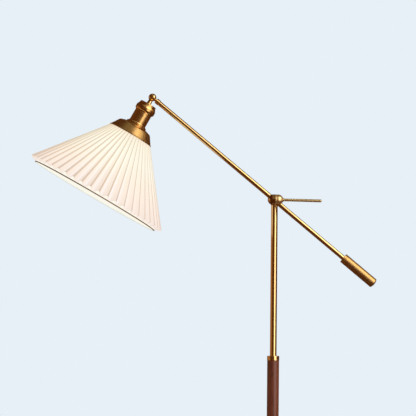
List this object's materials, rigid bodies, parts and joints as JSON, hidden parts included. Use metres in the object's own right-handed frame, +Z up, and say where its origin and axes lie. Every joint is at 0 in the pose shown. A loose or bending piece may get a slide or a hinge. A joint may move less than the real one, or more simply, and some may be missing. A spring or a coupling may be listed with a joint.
{
  "type": "floor lamp",
  "caption": "Floor lamp: round weighted base, wood column, metal pole, tilting arm with counterweight clamped by a lever knob, and a pleated cone shade on a turning knuckle.",
  "frame": {"origin": "middle of the base's underside, on the floor", "axes": "+Z up the pole, the shade hangs towards -X, the arm and its lever knob are on the front, -Y"},
  "size_m": [0.7224, 0.3122, 1.5027],
  "materials": {
    "polished_brass": "polished and lacquered",
    "satin_brass": "satin, brushed round",
    "cast_brass": "machined",
    "walnut": "satin lacquer",
    "iron_weight": "cast, painted black",
    "foot_pad": "matt",
    "gland_rubber": "matt",
    "zinc_steel": "zinc plated",
    "nylon": "matt",
    "porcelain": "glazed",
    "bulb_aluminium": "satin",
    "opal_glass": "opal",
    "shade_cloth": "pleated linen",
    "liner_film": "matt white",
    "rim_brown": "dark brown lacquer"
  },
  "bodies": {
    "stand": {"base_pad": "foot_pad", "base_weight": "iron_weight", "base_cover": "polished_brass", "cord_gland": "gland_rubber", "base_washer": "zinc_steel", "base_nut": "zinc_steel", "foot_collar": "polished_brass", "lower_column": "walnut", "column_coupling": "polished_brass", "upper_column": "walnut", "column_cap": "polished_brass", "tie_rod": "zinc_steel", "pole_tube": "polished_brass", "pole_bush": "cast_brass", "pole_head": "polished_brass", "pivot_bolt": "zinc_steel", "rear_washer": "nylon"},
    "lever": {"clamp_knob": "polished_brass", "lever_socket": "satin_brass", "lever_rod": "satin_brass"},
    "arm": {"arm_hub": "polished_brass", "front_washer": "nylon", "upper_arm": "polished_brass", "lower_arm": "polished_brass", "counterweight": "satin_brass", "arm_knuckle": "polished_brass", "knuckle_screw": "zinc_steel", "knuckle_nut": "zinc_steel", "knuckle_washer": "nylon"},
    "head": {"head_knuckle": "polished_brass", "neck_nut": "zinc_steel", "holder_cap": "polished_brass", "holder_shell": "satin_brass", "holder_core": "porcelain", "screw_shell": "cast_brass", "centre_contact": "cast_brass", "bulb_cap": "bulb_aluminium", "bulb_glass": "opal_glass", "shade_fitter": "satin_brass", "shade_ring": "satin_brass", "shade_spider": "satin_brass", "pleated_shade": "shade_cloth", "shade_liner": "liner_film", "rim_wire": "rim_brown"}
  },
  "joints": [
    {"name": "arm_tilt", "type": "hinge", "parent": "stand", "child": "arm", "pos_m": [0, -0.0193, 1.28], "axis": [0, 1, 0], "range_deg": [-39.6, 50.4]},
    {"name": "head_tilt", "type": "hinge", "parent": "arm", "child": "head", "pos_m": [-0.25936, -0.0193, 1.49456], "axis": [0, 1, 0], "range_deg": [-10, 170]},
    {"name": "lock_lever", "type": "hinge", "parent": "stand", "child": "lever", "pos_m": [0, -0.0406, 1.28], "axis": [0, 1, 0], "range_deg": [-90, 0]}
  ]
}
